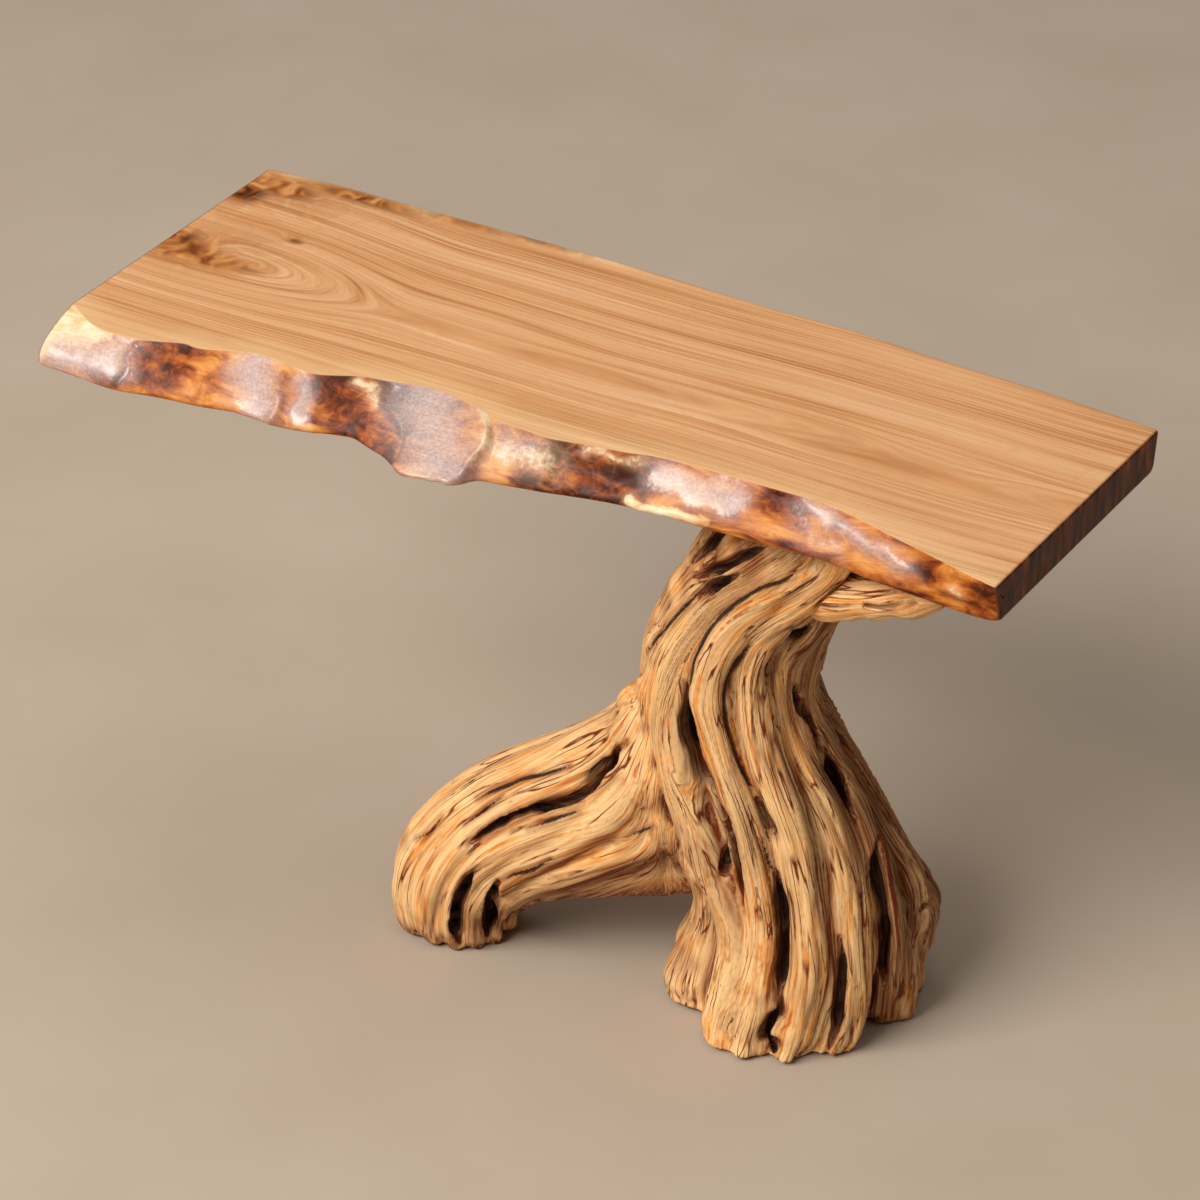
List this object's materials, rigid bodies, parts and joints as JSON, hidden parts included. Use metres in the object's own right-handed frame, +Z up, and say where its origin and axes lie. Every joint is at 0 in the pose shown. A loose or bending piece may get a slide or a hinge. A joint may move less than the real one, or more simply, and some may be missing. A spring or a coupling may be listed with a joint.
{
  "type": "live edge console table",
  "caption": "Console table: a thick wooden slab with a wavy natural front edge, carried off-centre on a twisting root pedestal with an arched side root and a short brace limb.",
  "frame": {"origin": "on the floor, under the middle of the table's outline", "axes": "+Z up; +X along the slab, towards the end that the pedestal stands under; -Y is the front, with the wavy live edge"},
  "size_m": [1.22, 0.496, 0.77],
  "materials": {
    "slab_wood": "satin lacquer",
    "root_wood": "oiled, weathered",
    "limb_wood": "oiled, weathered",
    "dowel_wood": "plain",
    "plate_steel": "matt black powder coat",
    "screw_steel": "zinc plated",
    "bolt_steel": "zinc plated",
    "washer_steel": "zinc plated",
    "insert_brass": "plain",
    "cup_plastic": "matt",
    "felt": "pressed felt",
    "glide_screw_steel": "zinc plated"
  },
  "bodies": {
    "root": {"slab_top": "slab_wood", "root_pedestal": "root_wood", "brace_limb": "limb_wood", "limb_dowels": "dowel_wood", "mounting_plate": "plate_steel", "plate_screws": "screw_steel", "slab_bolts": "bolt_steel", "bolt_washers": "washer_steel", "threaded_inserts": "insert_brass", "glide_cups": "cup_plastic", "glide_felts": "felt", "glide_screws": "glide_screw_steel"}
  },
  "joints": []
}
